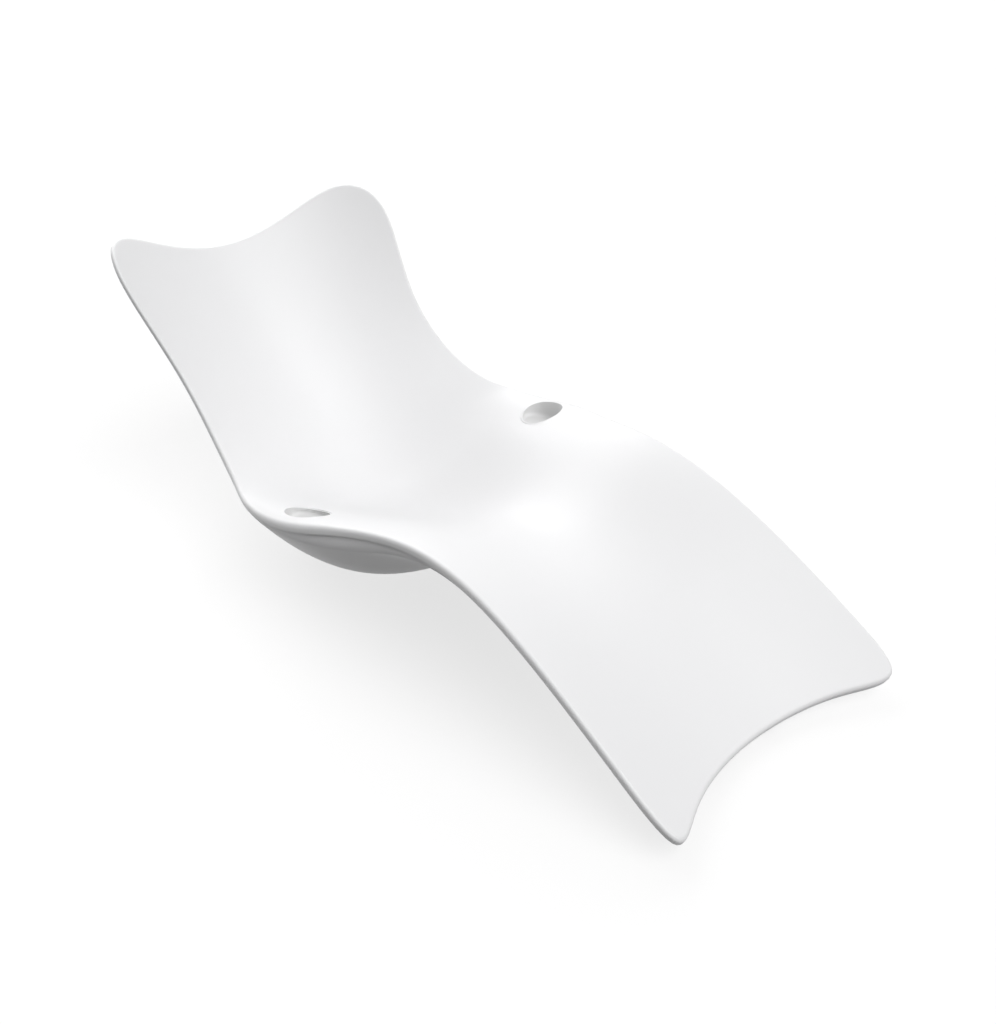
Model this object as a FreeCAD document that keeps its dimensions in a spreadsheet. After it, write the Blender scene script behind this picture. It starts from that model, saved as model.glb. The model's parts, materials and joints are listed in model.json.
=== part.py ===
import FreeCAD, Part
import math
import os
import Sketcher

from FreeCAD import Vector

# Spa relaxation lounger: a wavy double-skinned moulding that stands on a flat belly and on its foot
# end. +X points to the foot end, +Y to the sitter's left, +Z up. The origin lies on the floor under
# the middle of the length, and the plane Y = 0 is the plane of symmetry.

doc = FreeCAD.newDocument("SpaLounger")
sheet = doc.addObject("Spreadsheet::Sheet", "Sizes")

SIZES = {
    # Overall form
    "overall_length": 1800,
    "back_height": 540,
    "half_width": 410,
    "rim_rise": 175,
    "hull_depth": 220,
    # Moulded skins
    "lip_depth": 19,
    "lip_wall": 6,
    "skin_wall": 4.5,
    "bond_gap": 1.5,
    "bond_width": 12,
    "fit_gap": 0.3,
    "floor_gap": 18,
    "overrun": 12,
    # Grip slots, one in each hip shelf
    "slot_length": 116,
    "slot_width": 84,
    "slot_centre_x": -92,
    "slot_centre_y": 346,
    "slot_depth": 38,
    "slot_tilt_deg": 24,
    "cup_wall": 3,
    "cup_flange": 6,
    # Boards in the belly
    "belly_centre_x": -212,
    "rib_wall": 12,
    "rib_pitch": 100,
    "keel_length": 420,
    "keel_lap_height": 8,
    "base_board_length": 310,
    "base_board_width": 290,
    "base_board_wall": 18,
    "base_board_corner": 40,
    # Foam cores in the thin panels
    "back_core_end_x": -470,
    "leg_core_start_x": 120,
    # Levelling feet
    "foot_pitch_x": 200,
    "foot_pitch_y": 220,
    "stud_radius": 5,
    "stud_length": 52,
    "stud_seat_depth": 4,
    "collar_across_flats": 15,
    "thread_clearance": 0.05,
    "insert_radius": 8,
    "insert_flange_radius": 12,
    "insert_flange_height": 2,
    "disc_radius": 26,
    "disc_height": 6,
    "disc_edge": 1.5,
    "sole_radius": 24,
    "sole_height": 3,
    "sole_edge": 0.8,
    "nut_across_flats": 17,
    "nut_height": 6,
    # Rubber pads under the foot end
    "rest_pad_radius": 15,
    "rest_pad_x": 790,
    "rest_pad_y": 70,
    "rest_pad_edge": 1.5,
    "pad_screw_radius": 2,
    "pad_screw_head_radius": 4.5,
    "pad_screw_head_height": 2.5,
    "pad_screw_recess": 6,
    "pad_screw_bite": 10,
    # Drain plug in the belly
    "plug_radius": 12,
    "plug_length": 24,
    "plug_head_radius": 18,
    "plug_head_height": 5,
    "plug_seal_wall": 1.5,
    "plug_seal_radius": 16,
    "plug_slot_width": 3,
    "plug_slot_depth": 2,
}

for row, (alias, value) in enumerate(SIZES.items(), start=1):
    sheet.set("A%d" % row, alias)
    sheet.set("B%d" % row, str(value))
    sheet.setAlias("B%d" % row, alias)
doc.recompute()


def size(alias):
    """A driving dimension read back from the sheet."""
    return float(sheet.get(alias))


# Form of the seat: eight stations along the spine, from the head end to the foot end
SPINE_X_SHARES = (-0.004, 0.092, 0.210, 0.341, 0.488, 0.634, 0.773, 0.912)
SPINE_Z_SHARES = (0.998, 0.580, 0.233, 0.052, 0.237, 0.448, 0.374, 0.119)
RISE_SHARES = (0.95, 0.97, 0.81, 1.00, 0.686, 0.554, 0.394, 0.451)
WIDTH_SHARES = (0.946, 0.868, 0.824, 0.966, 1.044, 0.820, 0.805, 0.841)
SHELF_SHARES = (0.10, 0.25, 0.45, 0.75, 1.25, 1.00, 0.50, 0.25)
HULL_SHARES = (0.045, 0.107, 0.362, 0.991, 1.009, 0.227, 0.136, 0.050)
BELLY_SHARES = (0, 0, 0.50, 0.53, 1.16, 0.61, 0, 0)
MIDDLE_SHARE = 0.4946
DISH_POWER = 2.2
HULL_POWER = 2.94

# Half of the rim, from the middle of the head end to the middle of the foot end: the share of the
# spine's run and the share of the half width of each control point
RIM_SHARES = (
    (0.012, 0.000), (-0.005, 0.438), (-0.029, 0.786), (0.027, 0.970), (0.176, 0.780),
    (0.359, 0.900), (0.488, 1.013), (0.583, 0.990), (0.638, 0.867), (0.734, 0.784),
    (0.868, 0.803), (1.002, 0.820), (1.094, 0.826), (1.052, 0.544), (1.035, 0.000),
)
RIM_POINTS = 96
SHEET_ROWS = 37
SHEET_COLUMNS = 21
FIRST_ROW_SHARE = -0.10
LAST_ROW_SHARE = 1.14
SEAT_REACH_SHARE = 1.08
HULL_REACH_SHARE = 1.012
WALL_REACH_SHARE = 0.35
WALL_STRETCHES = 12
FAR_BELOW_SHARE = 4.5
SOLVE_ROUNDS = 30
RIB_COUNT = 4


def weights(part):
    """Weights of a uniform cubic B-spline's four control values."""
    rest = 1 - part
    return (
        rest ** 3 / 6,
        (3 * part ** 3 - 6 * part ** 2 + 4) / 6,
        (3 * rest ** 3 - 6 * rest ** 2 + 4) / 6,
        part ** 3 / 6,
    )


def along(shares, run):
    """Value at a share of the run, from a row of station values."""
    last = len(shares) - 1
    row = (2 * shares[0] - shares[1],) + tuple(shares) + (2 * shares[last] - shares[last - 1],)
    start = min(max(int(math.floor(run * last)), 0), last - 1)
    return sum(weight * row[start + k] for k, weight in enumerate(weights(run * last - start)))


def spine(run):
    """Point of the centre line in the plane Y = 0."""
    x = (along(SPINE_X_SHARES, run) - MIDDLE_SHARE) * size_length
    return Vector(x, 0, along(SPINE_Z_SHARES, run) * size_height)


def spine_step(run):
    """Change of the centre line per unit of run."""
    step = 0.0001
    return (spine(run + step) - spine(run - step)) * (0.5 / step)


def upward(run):
    """Unit normal of the centre line, towards the sitter."""
    forward = spine_step(run)
    forward.normalize()
    return Vector(-forward.z, 0, forward.x)


def dish(run, side):
    """Share of the rim's rise at a share of the local half width."""
    shelf = along(SHELF_SHARES, run)
    round_share = (1 - math.cos(math.pi * min(side, 1))) / 2
    return (1 - shelf) * side ** DISH_POWER + shelf * round_share


def seat_level(run, side):
    """Height of the seat surface over the centre line."""
    return along(RISE_SHARES, run) * size_rise * dish(run, side)


def hull_level(run, side):
    """Height of the underside over the centre line, below it in the middle."""
    rise = along(RISE_SHARES, run) * size_rise
    level = rise * (dish(run, side) + along(BELLY_SHARES, run) * (1 - dish(run, side)))
    return level - lip_depth - along(HULL_SHARES, run) * hull_depth * (1 - side ** HULL_POWER)


def local_half_width(run):
    return along(WIDTH_SHARES, run) * size_half_width


def place(run, y, level):
    point = spine(run) + upward(run) * level
    return Vector(point.x, y, point.z)


size_length = size("overall_length")
size_height = size("back_height")
size_half_width = size("half_width")
size_rise = size("rim_rise")
hull_depth = size("hull_depth")
lip_depth = size("lip_depth")
lip_wall = size("lip_wall")
skin_wall = size("skin_wall")
bond_gap = size("bond_gap")
bond_width = size("bond_width")
fit_gap = size("fit_gap")
overrun = size("overrun")
floor_gap = size("floor_gap")


def form_point(level_at, run, side, offset):
    return place(run, side * local_half_width(run), level_at(run, abs(side)) + offset)


def form_sheet(level_at, reach_share, offset=0, skin=0):
    """Smooth face over the whole form.

    The offset runs along the section normals, the skin square to the face itself.
    """
    rows = []
    step = 0.001
    for i in range(SHEET_ROWS):
        run = FIRST_ROW_SHARE + (LAST_ROW_SHARE - FIRST_ROW_SHARE) * i / (SHEET_ROWS - 1)
        row = []
        for j in range(SHEET_COLUMNS):
            side = reach_share * (2 * j / (SHEET_COLUMNS - 1) - 1)
            point = form_point(level_at, run, side, offset)
            forward = form_point(level_at, run + step, side, offset) - point
            sideways = form_point(level_at, run, side + step, offset) - point
            square = forward.cross(sideways)
            square.normalize()
            row.append(point + square * skin)
        rows.append(row)
    surface = Part.BSplineSurface()
    surface.interpolate(rows)
    return surface.toShape()


def slab(upper, lower):
    """Solid between two sheets."""
    faces = [upper, lower]
    for top_edge, bottom_edge in zip(upper.Wires[0].Edges, lower.Wires[0].Edges):
        faces.append(Part.makeRuledSurface(top_edge, bottom_edge))
    shell = Part.makeShell(faces)
    shell.sewShape()
    solid = Part.makeSolid(shell)
    if solid.Volume < 0:
        solid.reverse()
    return solid


def rim_samples():
    """Closed row of (share of the run, y) points around the rim."""
    mirrored = [(run, -side) for run, side in RIM_SHARES[-2:0:-1]]
    control = list(RIM_SHARES) + mirrored
    samples = []
    for i in range(RIM_POINTS):
        turn = i * len(control) / RIM_POINTS
        first = int(math.floor(turn))
        factors = weights(turn - first)
        four = [control[(first + k - 1) % len(control)] for k in range(4)]
        run = sum(factor * point[0] for factor, point in zip(factors, four))
        side = sum(factor * point[1] for factor, point in zip(factors, four))
        samples.append((run, side * size_half_width))
    return samples


def inset_samples(inset):
    """The rim's points moved inwards along the form."""
    samples = rim_samples()
    moved = []
    for i, (run, y) in enumerate(samples):
        before = samples[i - 1]
        after = samples[(i + 1) % len(samples)]
        scale = spine_step(run).Length
        forward = (after[0] - before[0]) * scale
        sideways = after[1] - before[1]
        length = math.hypot(forward, sideways)
        moved.append((run + inset * sideways / length / scale, y - inset * forward / length))
    return moved


def rim_wall(inset):
    """Closed wall along the rim at an inset, square to the centre line, in short stretches."""
    curves = []
    for reach in (overrun * 2, -lip_depth - hull_depth * WALL_REACH_SHARE):
        points = []
        for run, y in inset_samples(inset):
            side = abs(y) / local_half_width(run)
            points.append(place(run, y, seat_level(run, side) + reach))
        curve = Part.BSplineCurve()
        turns = [i / RIM_POINTS for i in range(RIM_POINTS + 1)]
        curve.interpolate(Points=points, PeriodicFlag=True, Parameters=turns)
        curves.append(curve)
    faces = []
    for i in range(WALL_STRETCHES):
        stretch = [curve.toShape(i / WALL_STRETCHES, (i + 1) / WALL_STRETCHES) for curve in curves]
        faces.append(Part.makeRuledSurface(stretch[0], stretch[1]))
    wall = Part.makeShell(faces)
    wall.sewShape()
    return wall


def inside(block, wall):
    """The part of a slab that a rim wall encloses: the piece without the slab's corners."""
    pieces = block.generalFuse([wall])[0]
    return min(pieces.Solids, key=lambda piece: max(abs(vertex.X) for vertex in piece.Vertexes))


def above(height):
    """Space above a level, over the whole object."""
    space = Part.makeBox(2 * size_length, 2 * size_length, 2 * size_length)
    space.translate(Vector(-size_length, -size_length, height))
    return space


def between(start, end):
    """Space between two planes square to X."""
    space = Part.makeBox(end - start, 2 * size_length, 4 * size_length)
    space.translate(Vector(start, -size_length, -size_length))
    return space


sub_parts = []


def add_form(label, shape):
    """A moulded or shaped piece of the form, as an object of the document."""
    solids = shape.Solids
    piece = doc.addObject("Part::Feature", label)
    piece.Label = label
    piece.Shape = solids[0] if len(solids) == 1 else Part.makeCompound(solids)
    piece.Placement = FreeCAD.Placement()
    sub_parts.append(piece)
    return piece


# Sheets shared by the pieces that meet on them
seat_face = form_sheet(seat_level, SEAT_REACH_SHARE)
lip_face = form_sheet(seat_level, SEAT_REACH_SHARE, -lip_depth)
under_seat_face = form_sheet(seat_level, HULL_REACH_SHARE, 0, -skin_wall)
seam_face = form_sheet(seat_level, HULL_REACH_SHARE, 0, -skin_wall - bond_gap)
below_lip_face = form_sheet(seat_level, HULL_REACH_SHARE, -lip_depth - overrun)
over_seat_face = form_sheet(seat_level, HULL_REACH_SHARE, overrun)
hull_face = form_sheet(hull_level, HULL_REACH_SHARE)
hull_inner_face = form_sheet(hull_level, HULL_REACH_SHARE, 0, skin_wall)
core_top_face = form_sheet(seat_level, HULL_REACH_SHARE, 0, -skin_wall - bond_gap - fit_gap)
core_bottom_face = form_sheet(hull_level, HULL_REACH_SHARE, 0, skin_wall + fit_gap)
far_below_face = form_sheet(seat_level, HULL_REACH_SHARE, -lip_depth * FAR_BELOW_SHARE)

lip_inset = lip_wall + fit_gap
cavity_inset = lip_inset + bond_width
rim = rim_wall(0)
lip_line = rim_wall(lip_wall)
hull_line = rim_wall(lip_inset)
cavity_line = rim_wall(cavity_inset)
core_line = rim_wall(cavity_inset + fit_gap)

# Grip slots: an oval that runs down and inwards through each hip shelf
slot_centre_x = size("slot_centre_x")
slot_centre_y = size("slot_centre_y")
slot_depth = size("slot_depth")
slot_tilt = math.radians(size("slot_tilt_deg"))
cup_wall = size("cup_wall")
cup_flange = size("cup_flange")


def seat_point_at(x, y):
    """Point of the seat surface over a place in plan."""
    run = 0.5
    for attempt in range(SOLVE_ROUNDS):
        point = place(run, y, seat_level(run, abs(y) / local_half_width(run)))
        run += (x - point.x) / size_length
    return Vector(point.x, y, point.z)


def slot_prism(side_sign, growth, depth):
    """Oval prism along a slot, from above the seat to a depth under it."""
    mouth = seat_point_at(slot_centre_x, side_sign * slot_centre_y)
    down = Vector(0, -side_sign * math.sin(slot_tilt), -math.cos(slot_tilt))
    start = mouth - down * (overrun * 2)
    long_radius = size("slot_length") / 2 + growth
    short_radius = size("slot_width") / 2 + growth
    oval = Part.Ellipse(start, long_radius, short_radius)
    face = Part.Face(Part.Wire([oval.toShape()]))
    return face.extrude(down * (overrun * 2 + depth))


# Places of the boards, the feet and the plug in the belly
belly_centre_x = size("belly_centre_x")
rib_wall = size("rib_wall")
rib_pitch = size("rib_pitch")
keel_length = size("keel_length")
keel_lap_height = size("keel_lap_height")
base_board_length = size("base_board_length")
base_board_width = size("base_board_width")
base_board_wall = size("base_board_wall")
foot_pitch_x = size("foot_pitch_x")
foot_pitch_y = size("foot_pitch_y")
insert_radius = size("insert_radius")
plug_radius = size("plug_radius")
rest_pad_x = size("rest_pad_x")
rest_pad_y = size("rest_pad_y")
pad_screw_radius = size("pad_screw_radius")
base_top = floor_gap + skin_wall
board_top = base_top + base_board_wall
lap_top = board_top + keel_lap_height
rib_places = [belly_centre_x + (k - (RIB_COUNT - 1) / 2) * rib_pitch for k in range(RIB_COUNT)]
foot_places = [
    (belly_centre_x + sign_x * foot_pitch_x / 2, sign_y * foot_pitch_y / 2)
    for sign_x in (-1, 1)
    for sign_y in (-1, 1)
]
rest_pad_places = [(rest_pad_x, sign_y * rest_pad_y) for sign_y in (1, -1)]


def cylinder(radius, height, x, y, z):
    return Part.makeCylinder(radius, height, Vector(x, y, z))


def box(x_from, x_to, y_from, y_to, z_from, z_to):
    corner = Vector(x_from, y_from, z_from)
    return Part.makeBox(x_to - x_from, y_to - y_from, z_to - z_from, corner)


# Upper skin with its down-turned lip
seat_solid = inside(slab(seat_face, lip_face), rim)
seat_solid = seat_solid.cut(inside(slab(under_seat_face, below_lip_face), lip_line))
for side_sign in (1, -1):
    seat_solid = seat_solid.cut(slot_prism(side_sign, 0, slot_depth))
add_form("seat_shell", seat_solid)

# Lower skin: the hull of the back, the belly and the leg rest, with a flat base and a bonding flange
hull_solid = inside(slab(seam_face, hull_face), hull_line).common(above(floor_gap))
cavity_solid = inside(slab(over_seat_face, hull_inner_face), cavity_line).common(above(base_top))
under_solid = hull_solid.cut(cavity_solid)

# Bead of adhesive between the skins, along the flange
seam_solid = inside(slab(under_seat_face, below_lip_face), hull_line)
seam_solid = seam_solid.cut(slab(seam_face, far_below_face)).cut(cavity_solid)

# Blind cups behind the slots, with a flange bonded under the upper skin
cup_reliefs = []
cup_space = slab(under_seat_face, far_below_face)
cup_flange_face = form_sheet(seat_level, HULL_REACH_SHARE, 0, -skin_wall - cup_wall)
cup_flange_space = slab(under_seat_face, cup_flange_face)
for name, side_sign in (("left", 1), ("right", -1)):
    cup_body = slot_prism(side_sign, cup_wall, slot_depth + cup_wall).common(cup_space)
    cup_edge = slot_prism(side_sign, cup_flange, slot_depth).common(cup_flange_space)
    cup_solid = cup_body.fuse(cup_edge).cut(slot_prism(side_sign, 0, slot_depth))
    add_form("grip_cup_" + name, cup_solid)
    relief = slot_prism(side_sign, cup_flange + fit_gap, slot_depth + cup_wall + fit_gap)
    under_solid = under_solid.cut(relief)
    seam_solid = seam_solid.cut(relief)
    cup_reliefs.append(relief)

base_holes = [
    cylinder(insert_radius + fit_gap, overrun * 2, x, y, floor_gap - overrun) for x, y in foot_places
]
plug_hole = cylinder(plug_radius + fit_gap, overrun * 2, belly_centre_x, 0, floor_gap - overrun)
pad_screw_holes = [
    cylinder(pad_screw_radius + fit_gap, board_top * 2, x, y, 0) for x, y in rest_pad_places
]
under_solid = under_solid.cut(base_holes + [plug_hole] + pad_screw_holes)
add_form("under_shell", under_solid)
add_form("bond_seam", seam_solid)

# Foam cores that fill the back and the leg rest between the skins
core_space = inside(slab(core_top_face, core_bottom_face), core_line).common(above(base_top))
back_core = core_space.common(between(-size_length, size("back_core_end_x")))
leg_core = core_space.common(between(size("leg_core_start_x"), size_length)).cut(pad_screw_holes)
add_form("back_core", back_core)
add_form("leg_core", leg_core)

# Boards in the belly: four bulkheads, a keel lapped through them, and the base board under both
board_half_space = base_board_width / 2 + fit_gap
board_space = core_space.cut(
    box(-size_length, size_length, -board_half_space, board_half_space, 0, board_top)
)
half_wall = rib_wall / 2
half_lap = half_wall + fit_gap
keel_start = belly_centre_x - keel_length / 2
keel_solid = board_space.common(
    box(keel_start, keel_start + keel_length, -half_wall, half_wall, board_top, size_height)
)
for number, x in enumerate(rib_places, start=1):
    rib = box(x - half_wall, x + half_wall, -size_half_width, size_half_width, base_top, size_height)
    rib_solid = board_space.common(rib)
    lap = box(x - rib_wall, x + rib_wall, -half_lap, half_lap, board_top, lap_top)
    add_form("rib_%d" % number, rib_solid.cut([lap] + cup_reliefs))
    notch = box(x - half_lap, x + half_lap, -rib_wall, rib_wall, lap_top, size_height)
    keel_solid = keel_solid.cut(notch)
add_form("keel_board", keel_solid)

# Rubber pads under the foot end, each held by a screw from below
rest_pad_radius = size("rest_pad_radius")
pad_screw_recess = size("pad_screw_recess")
pad_screw_head_radius = size("pad_screw_head_radius")
pad_screw_head_height = size("pad_screw_head_height")
screw_head_top = pad_screw_recess + pad_screw_head_height
screws = []
for name, (x, y) in zip(("left", "right"), rest_pad_places):
    pad = cylinder(rest_pad_radius, board_top * 2, x, y, 0)
    rim_edge = [edge for edge in pad.Edges if edge.BoundBox.ZMax < fit_gap]
    pad = pad.makeChamfer(size("rest_pad_edge"), rim_edge)
    seated = hull_solid.copy()
    seated.translate(Vector(0, 0, -fit_gap))
    pad = min(pad.cut(seated).Solids, key=lambda solid: solid.CenterOfGravity.z)
    pad = pad.cut(cylinder(pad_screw_head_radius + fit_gap, screw_head_top, x, y, 0))
    pad = pad.cut(cylinder(pad_screw_radius + fit_gap, board_top * 2, x, y, 0))
    add_form("foot_rest_pad_" + name, pad)
    core = cylinder(pad_screw_radius, size_height, x, y, 0).common(hull_solid)
    underside = min(vertex.Z for vertex in core.Vertexes)
    head = cylinder(pad_screw_head_radius, pad_screw_head_height, x, y, pad_screw_recess)
    shank_length = underside + size("pad_screw_bite") - screw_head_top
    shank = cylinder(pad_screw_radius, shank_length, x, y, screw_head_top)
    screws.append(head.fuse(shank).removeSplitter())
add_form("pad_screws", Part.makeCompound(screws))


def bind(piece, **expressions):
    for name, expression in expressions.items():
        piece.setExpression(name.replace("_", ".") if name.startswith("Placement") else name, expression)


def solid_of(kind, name, x, y, z, **expressions):
    """A primitive with its sizes and its place bound to the sheet."""
    piece = doc.addObject(kind, name)
    bind(piece, Placement_Base_x=x, Placement_Base_y=y, Placement_Base_z=z, **expressions)
    return piece


def join(kind, label, pieces):
    """A boolean of pieces: a Part::Cut of two, or a Part::MultiFuse or Part::Compound of several."""
    result = doc.addObject(kind, label)
    if kind == "Part::Cut":
        result.Base, result.Tool = pieces
    elif kind == "Part::MultiFuse":
        result.Shapes = pieces
        result.Refine = True
    else:
        result.Links = pieces
    result.Label = label
    return result


def hexagon(name, x, y, z, across_flats, height):
    """Hexagonal prism given by its size across flats."""
    radius = "%s / sqrt(3)" % across_flats
    return solid_of("Part::Prism", name, x, y, z, Circumradius=radius, Height=height)


def origin_plane(body, role):
    return [feature for feature in body.Origin.OriginFeatures if feature.Role == role][0]


def sketch_in(body, name):
    sketch = body.newObject("Sketcher::SketchObject", name)
    sketch.AttachmentSupport = [(origin_plane(body, "XY_Plane"), "")]
    sketch.MapMode = "FlatFace"
    return sketch


def bound_constraint(sketch, expression, *constraint):
    index = sketch.addConstraint(Sketcher.Constraint(*constraint))
    sketch.setExpression("Constraints[%d]" % index, expression)


def rectangle(sketch, length, width):
    """Rectangle about the sketch's origin."""
    corners = [Vector(-2, -1, 0), Vector(2, -1, 0), Vector(2, 1, 0), Vector(-2, 1, 0)]
    for i in range(4):
        sketch.addGeometry(Part.LineSegment(corners[i], corners[(i + 1) % 4]))
    for i in range(4):
        sketch.addConstraint(Sketcher.Constraint("Coincident", i, 2, (i + 1) % 4, 1))
        sketch.addConstraint(Sketcher.Constraint("Vertical" if i % 2 else "Horizontal", i))
    sketch.addConstraint(Sketcher.Constraint("Symmetric", 0, 1, 2, 1, -1, 1))
    bound_constraint(sketch, length, "DistanceX", 0, 1, 0, 2, 4)
    bound_constraint(sketch, width, "DistanceY", 1, 1, 1, 2, 2)


def circle(sketch, sign_x, x, sign_y, y, radius):
    """Circle at a place given by its distances from the sketch's axes."""
    centre = Vector(sign_x, sign_y, 0)
    number = sketch.addGeometry(Part.Circle(centre, Vector(0, 0, 1), 1))
    for axis, sign, distance in (("DistanceX", sign_x, x), ("DistanceY", sign_y, y)):
        if sign > 0:
            bound_constraint(sketch, distance, axis, -1, 1, number, 3, 1)
        elif sign < 0:
            bound_constraint(sketch, distance, axis, number, 3, -1, 1, 1)
    if not sign_x and not sign_y:
        sketch.addConstraint(Sketcher.Constraint("Coincident", -1, 1, number, 3))
    bound_constraint(sketch, radius, "Radius", number, 1)


def upright_edges(shape):
    """Names of the straight edges that run along Z."""
    names = []
    for number, edge in enumerate(shape.Edges, start=1):
        if edge.BoundBox.XLength + edge.BoundBox.YLength < fit_gap:
            names.append("Edge%d" % number)
    return names


THREAD_BORE = "Sizes.stud_radius + Sizes.thread_clearance"


def turned_disc(body, number):
    """Foot disc turned about Z: a rounded edge and a blind seat for the stud's end."""
    body.Label = "foot_disc_%d" % number
    outline = sketch_in(body, "disc_outline_%d" % number)
    circle(outline, 0, "", 0, "", "Sizes.disc_radius")
    blank = body.newObject("PartDesign::Pad", "disc_blank_%d" % number)
    blank.Profile = outline
    blank.setExpression("Length", "Sizes.disc_height")
    doc.recompute()
    top = [i + 1 for i, edge in enumerate(blank.Shape.Edges) if edge.BoundBox.ZMin > fit_gap]
    rounded = body.newObject("PartDesign::Fillet", "disc_edge_%d" % number)
    rounded.Base = (blank, ["Edge%d" % i for i in top])
    rounded.setExpression("Radius", "Sizes.disc_edge")
    doc.recompute()
    seat = body.newObject("Sketcher::SketchObject", "disc_seat_%d" % number)
    seat.AttachmentSupport = [(origin_plane(body, "XY_Plane"), "")]
    seat.MapMode = "FlatFace"
    seat.setExpression("AttachmentOffset.Base.z", "Sizes.disc_height")
    circle(seat, 0, "", 0, "", THREAD_BORE)
    pocket = body.newObject("PartDesign::Pocket", "disc_pocket_%d" % number)
    pocket.Profile = seat
    pocket.setExpression("Length", "Sizes.stud_seat_depth")
    body.Tip = pocket
    doc.recompute()


# Base board: a flat board with rounded corners, bored for the inserts and the drain plug
base_board = doc.addObject("PartDesign::Body", "base_board")
base_board.Label = "base_board"
board_outline = sketch_in(base_board, "board_outline")
rectangle(board_outline, "Sizes.base_board_length", "Sizes.base_board_width")
board_pad = base_board.newObject("PartDesign::Pad", "board_pad")
board_pad.Profile = board_outline
board_pad.setExpression("Length", "Sizes.base_board_wall")
doc.recompute()
board_corners = base_board.newObject("PartDesign::Fillet", "board_corners")
board_corners.Base = (board_pad, upright_edges(board_pad.Shape))
board_corners.setExpression("Radius", "Sizes.base_board_corner")
doc.recompute()
board_holes = sketch_in(base_board, "board_holes")
for sign_x in (-1, 1):
    for sign_y in (-1, 1):
        circle(
            board_holes, sign_x, "Sizes.foot_pitch_x / 2", sign_y, "Sizes.foot_pitch_y / 2",
            "Sizes.insert_radius + Sizes.fit_gap"
        )
circle(board_holes, 0, "", 0, "", "Sizes.plug_radius + Sizes.fit_gap")
board_bores = base_board.newObject("PartDesign::Pocket", "board_bores")
board_bores.Profile = board_holes
board_bores.Type = "ThroughAll"
board_bores.Midplane = True
base_board.Tip = board_bores
sub_parts.append(base_board)
bind(
    base_board,
    Placement_Base_x="Sizes.belly_centre_x",
    Placement_Base_z="Sizes.floor_gap + Sizes.skin_wall",
)
doc.recompute()

# Levelling feet: heights above the floor, as expressions of the sheet
DISC_TOP = "(Sizes.sole_height + Sizes.disc_height)"
STUD_FOOT = DISC_TOP + " - Sizes.stud_seat_depth + Sizes.thread_clearance"
NUT_FOOT = "(Sizes.floor_gap - Sizes.nut_height)"
COLLAR_HEIGHT = NUT_FOOT + " - " + DISC_TOP + " - 2 * Sizes.thread_clearance"
BOARD_TOP = "(Sizes.floor_gap + Sizes.skin_wall + Sizes.base_board_wall)"

inserts = []
for number, (x, y) in enumerate(foot_places, start=1):
    sign_x = "+" if x > belly_centre_x else "-"
    sign_y = "" if y > 0 else "-"
    at_x = "Sizes.belly_centre_x %s Sizes.foot_pitch_x / 2" % sign_x
    at_y = "%s Sizes.foot_pitch_y / 2" % sign_y

    barrel = solid_of(
        "Part::Cylinder", "insert_barrel_%d" % number, at_x, at_y, "Sizes.floor_gap",
        Radius="Sizes.insert_radius", Height="Sizes.skin_wall + Sizes.base_board_wall"
    )
    flange = solid_of(
        "Part::Cylinder", "insert_flange_%d" % number, at_x, at_y, BOARD_TOP,
        Radius="Sizes.insert_flange_radius", Height="Sizes.insert_flange_height"
    )
    bore = solid_of(
        "Part::Cylinder", "insert_bore_%d" % number, at_x, at_y, "0",
        Radius=THREAD_BORE, Height=BOARD_TOP + " * 2"
    )
    body = join("Part::MultiFuse", "insert_body_%d" % number, [barrel, flange])
    inserts.append(join("Part::Cut", "insert_%d" % number, [body, bore]))

    shaft = solid_of(
        "Part::Cylinder", "stud_shaft_%d" % number, at_x, at_y, STUD_FOOT,
        Radius="Sizes.stud_radius", Height="Sizes.stud_length"
    )
    collar = hexagon(
        "stud_collar_%d" % number, at_x, at_y, DISC_TOP + " + Sizes.thread_clearance",
        "Sizes.collar_across_flats", COLLAR_HEIGHT
    )
    sub_parts.append(join("Part::MultiFuse", "levelling_stud_%d" % number, [shaft, collar]))

    nut_body = hexagon(
        "nut_body_%d" % number, at_x, at_y, NUT_FOOT, "Sizes.nut_across_flats", "Sizes.nut_height"
    )
    nut_bore = solid_of(
        "Part::Cylinder", "nut_bore_%d" % number, at_x, at_y, "0",
        Radius=THREAD_BORE, Height=BOARD_TOP
    )
    sub_parts.append(join("Part::Cut", "lock_nut_%d" % number, [nut_body, nut_bore]))

    disc = doc.addObject("PartDesign::Body", "foot_disc_%d" % number)
    turned_disc(disc, number)
    bind(disc, Placement_Base_x=at_x, Placement_Base_y=at_y, Placement_Base_z="Sizes.sole_height")
    sub_parts.append(disc)

    sole_blank = solid_of(
        "Part::Cylinder", "sole_blank_%d" % number, at_x, at_y, "0",
        Radius="Sizes.sole_radius", Height="Sizes.sole_height"
    )
    doc.recompute()
    sole = doc.addObject("Part::Chamfer", "foot_sole_%d" % number)
    sole.Base = sole_blank
    sole_edge = size("sole_edge")
    sole.Edges = [(3, sole_edge, sole_edge)]
    sole.Label = "foot_sole_%d" % number
    sub_parts.append(sole)
sub_parts.append(join("Part::Compound", "thread_inserts", inserts))

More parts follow.
